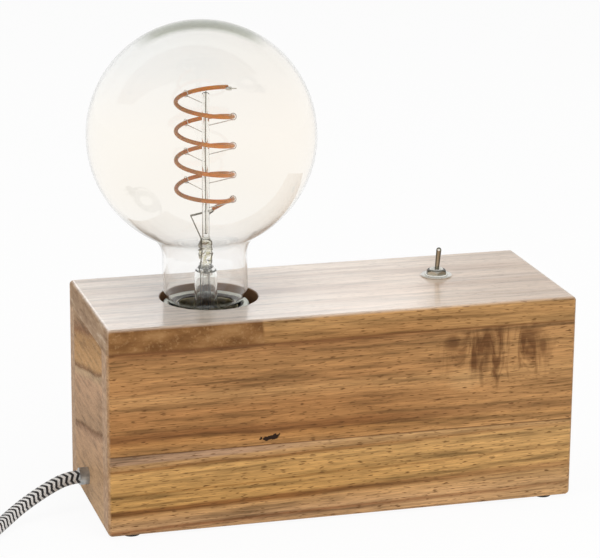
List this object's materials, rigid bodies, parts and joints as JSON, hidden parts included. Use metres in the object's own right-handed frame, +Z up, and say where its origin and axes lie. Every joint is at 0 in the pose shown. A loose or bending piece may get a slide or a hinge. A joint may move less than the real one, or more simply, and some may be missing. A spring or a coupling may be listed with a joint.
{
  "type": "table lamp",
  "caption": "Table lamp made as a hollow wooden block on pads, with a bare spiral-filament globe bulb in a sunk holder, a toggle switch on top and a braided cord.",
  "frame": {"origin": "under the middle of the wooden block, on the surface that the lamp stands on", "axes": "+X to the right along the block, seen from the front, +Y to the back, +Z up along the bulb"},
  "size_m": [0.3523, 0.1236, 0.2056],
  "materials": {
    "top_wood": "oiled, faint figure",
    "side_wood": "oiled, curly figure",
    "end_wood": "oiled",
    "plywood": "plain",
    "pad_rubber": "matt",
    "zinc_steel": "zinc plated",
    "ring_metal": "satin",
    "holder_plastic": "thermoset",
    "steatite": "unglazed",
    "brass": "plain",
    "bulb_glass": "clear",
    "stem_glass": "clear",
    "cap_nickel": "nickel plated",
    "black_glass": "gloss",
    "filament_phosphor": "translucent silicone",
    "filament_metal": "plain",
    "circuit_board": "plain",
    "capacitor_can": "sleeve",
    "switch_case": "moulded",
    "switch_metal": "nickel plated",
    "sleeve_metal": "nickel plated",
    "clamp_plastic": "moulded",
    "braid": "black and white zigzag braid",
    "brown_wire": "PVC",
    "blue_wire": "PVC",
    "plug_plastic": "moulded",
    "relief_rubber": "ribbed"
  },
  "bodies": {
    "housing": {"top_board": "top_wood", "front_plank_upper": "side_wood", "front_plank_lower": "side_wood", "back_plank_upper": "side_wood", "back_plank_lower": "side_wood", "left_end_board": "end_wood", "right_end_board": "end_wood", "bottom_panel": "plywood", "corner_blocks": "plywood", "panel_screws": "zinc_steel", "foot_pads": "pad_rubber", "holder_plate": "zinc_steel", "plate_screws": "zinc_steel", "shade_ring": "ring_metal", "holder_skirt": "holder_plastic", "holder_dome": "holder_plastic", "holder_insert": "steatite", "holder_terminals": "brass", "terminal_screws": "brass", "screw_shell": "brass", "centre_contact": "brass", "switch_body": "switch_case", "switch_bushing": "switch_metal", "switch_washer": "switch_metal", "switch_nut": "switch_metal", "switch_lugs": "brass", "cord_sleeve": "sleeve_metal", "sleeve_nut": "sleeve_metal", "cord_clamp": "clamp_plastic", "clamp_screws": "zinc_steel", "cord_inner": "braid", "live_wire": "brown_wire", "neutral_wire": "blue_wire", "switched_wire": "brown_wire", "cord_lead": "braid", "cord_coil": "braid", "cord_tail": "braid", "plug_relief": "relief_rubber", "plug_body": "plug_plastic", "plug_pins": "cap_nickel"},
    "bulb_carrier": {"cap_insulator": "black_glass", "cap_contact": "brass"},
    "bulb": {"bulb_glass": "bulb_glass", "bulb_cap": "cap_nickel", "stem_glass": "stem_glass", "filament": "filament_phosphor", "filament_supports": "filament_metal", "filament_terminals": "filament_metal", "lead_wires": "filament_metal", "driver_board": "circuit_board", "driver_capacitor": "capacitor_can"},
    "lever": {"switch_lever": "switch_metal"},
    "rocker": {"switch_rocker": "brass"}
  },
  "joints": [
    {"name": "bulb_rise", "type": "slide", "parent": "housing", "child": "bulb_carrier", "axis": [0, 0, 1], "range_m": [0, 0.0182]},
    {"name": "bulb_turn", "type": "hinge", "parent": "bulb_carrier", "child": "bulb", "pos_m": [-0.05, 0, 0.0852], "axis": [0, 0, 1], "range_deg": [0, 1800]},
    {"name": "lever_tilt", "type": "hinge", "parent": "housing", "child": "lever", "pos_m": [0.0536, 0.0064, 0.0894], "axis": [-1, 0, 0], "range_deg": [0, 25]},
    {"name": "rocker_tilt", "type": "hinge", "parent": "housing", "child": "rocker", "pos_m": [0.0536, 0.0064, 0.0802], "axis": [-1, 0, 0], "range_deg": [-16.2, 0]}
  ],
  "couplings": [
    {"joint": "bulb_rise", "follows": "bulb_turn", "m_per_rad": 0.0005775},
    {"joint": "rocker_tilt", "follows": "lever_tilt", "ratio": -0.64}
  ]
}
